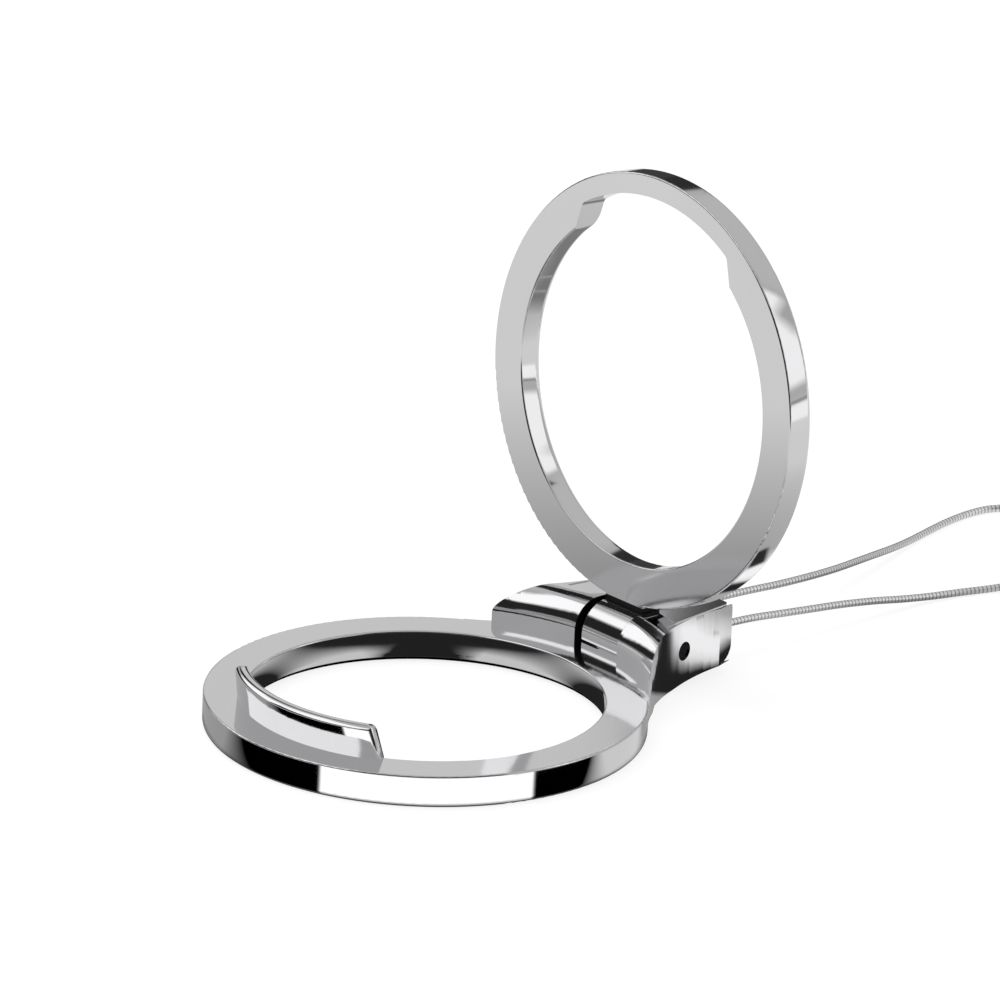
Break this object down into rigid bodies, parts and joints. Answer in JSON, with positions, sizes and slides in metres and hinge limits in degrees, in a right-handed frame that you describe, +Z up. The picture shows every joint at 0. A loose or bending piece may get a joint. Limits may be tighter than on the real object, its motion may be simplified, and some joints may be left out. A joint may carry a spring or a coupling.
{
  "type": "folding phone ring holder with wrist cord",
  "caption": "Folding phone holder of two polished metal rings on a friction hinge, with a ribbed wrist cord looped from its tail.",
  "frame": {"origin": "centre of the base ring's bore, in the plane of its underside", "axes": "+Z up out of the base ring's top, +Y from the ring to the hinge and the tail, +X along the hinge axis"},
  "size_m": [0.058, 0.1521, 0.068],
  "materials": {
    "polished_alloy": "polished dark chrome plate",
    "polished_alloy_upper": "polished dark chrome plate",
    "backing_steel": "plain rolled steel",
    "pad_rubber": "matt soft pad",
    "magnet_nickel": "nickel plate",
    "pin_steel": "ground steel",
    "washer_steel": "blackened steel",
    "spring_steel": "tempered spring steel",
    "black_screw": "black oxide",
    "nylon": "natural nylon",
    "ferrule_steel": "crimped steel tube",
    "ribbed_cord": "fine cross-ribbed metallic cord",
    "tie_band": "matt band",
    "bush_bronze": "bare bronze"
  },
  "bodies": {
    "base": {"base_ring": "polished_alloy", "backing_ring": "backing_steel", "underside_pad": "pad_rubber", "magnet_01": "magnet_nickel", "magnet_02": "magnet_nickel", "magnet_03": "magnet_nickel", "magnet_04": "magnet_nickel", "magnet_05": "magnet_nickel", "magnet_06": "magnet_nickel", "magnet_07": "magnet_nickel", "magnet_08": "magnet_nickel", "magnet_09": "magnet_nickel", "magnet_10": "magnet_nickel", "magnet_11": "magnet_nickel", "magnet_12": "magnet_nickel", "magnet_13": "magnet_nickel", "magnet_14": "magnet_nickel", "magnet_15": "magnet_nickel", "magnet_16": "magnet_nickel", "hinge_pin": "pin_steel", "friction_washer": "washer_steel", "disc_spring_front": "spring_steel", "disc_spring_back": "spring_steel", "hinge_screw": "black_screw", "screw_plug": "nylon", "ferrule_left": "ferrule_steel", "ferrule_right": "ferrule_steel", "cord_left": "ribbed_cord", "cord_right": "ribbed_cord", "cord_coil": "ribbed_cord", "coil_tie": "tie_band"},
    "upper": {"upper_ring": "polished_alloy_upper", "hinge_bush": "bush_bronze"}
  },
  "joints": [
    {"name": "ring_fold", "type": "hinge", "parent": "base", "child": "upper", "pos_m": [0, 0.03395, 0.00519], "axis": [1, 0, 0], "range_deg": [-12.5, 93.4]}
  ]
}
